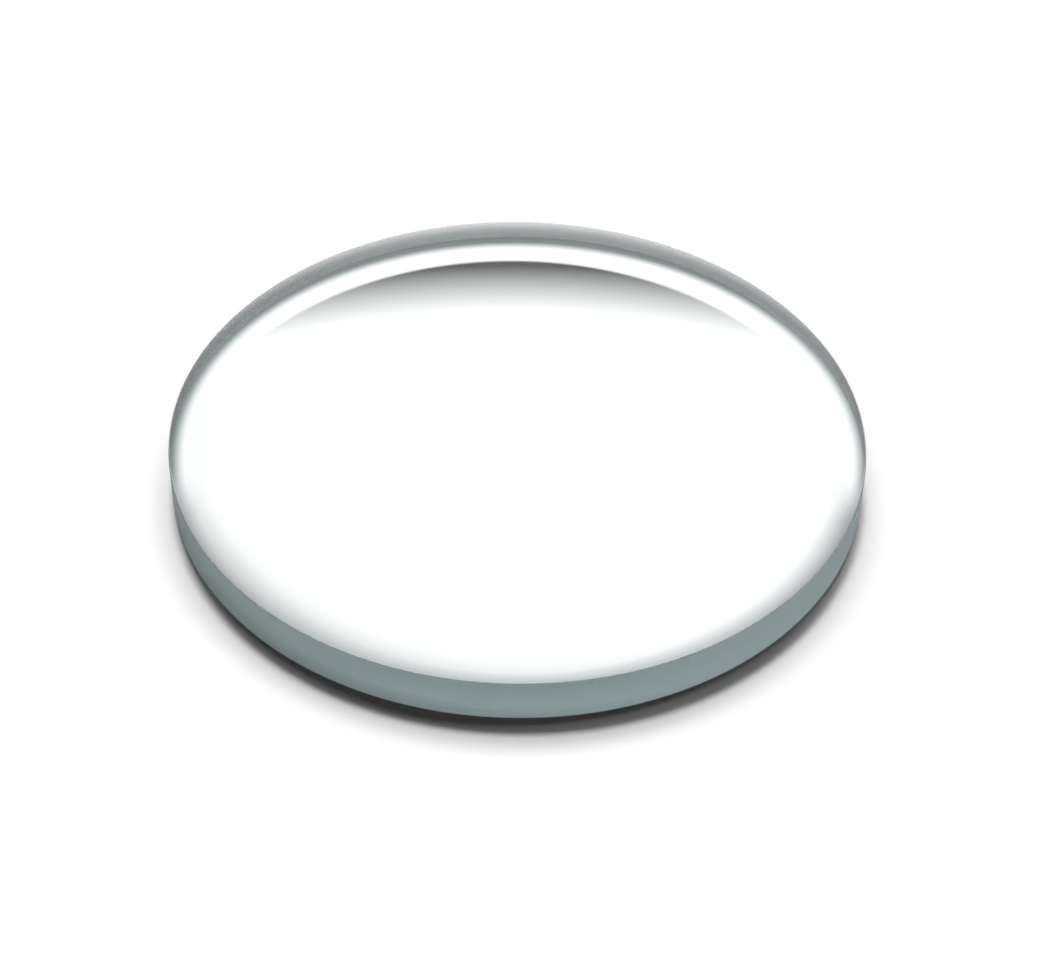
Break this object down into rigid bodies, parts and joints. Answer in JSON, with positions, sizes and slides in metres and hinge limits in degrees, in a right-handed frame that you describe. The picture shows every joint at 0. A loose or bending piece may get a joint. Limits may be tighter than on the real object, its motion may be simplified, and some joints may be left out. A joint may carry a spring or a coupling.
{
  "type": "watch crystal",
  "caption": "Flat round clear glass disc with bevelled rims that covers a watch dial.",
  "frame": {"origin": "centre of the inner face, the flat face that the crystal lies on", "axes": "+Z is the disc's axis, from the inner face to the outer face; the disc is round, so X and Y are free"},
  "size_m": [0.032, 0.032, 0.0025],
  "materials": {
    "glass": "clear mineral glass with polished faces and a fine-ground wall, grey-green through the edge"
  },
  "bodies": {
    "root": {"crystal_glass": "glass"}
  },
  "joints": []
}
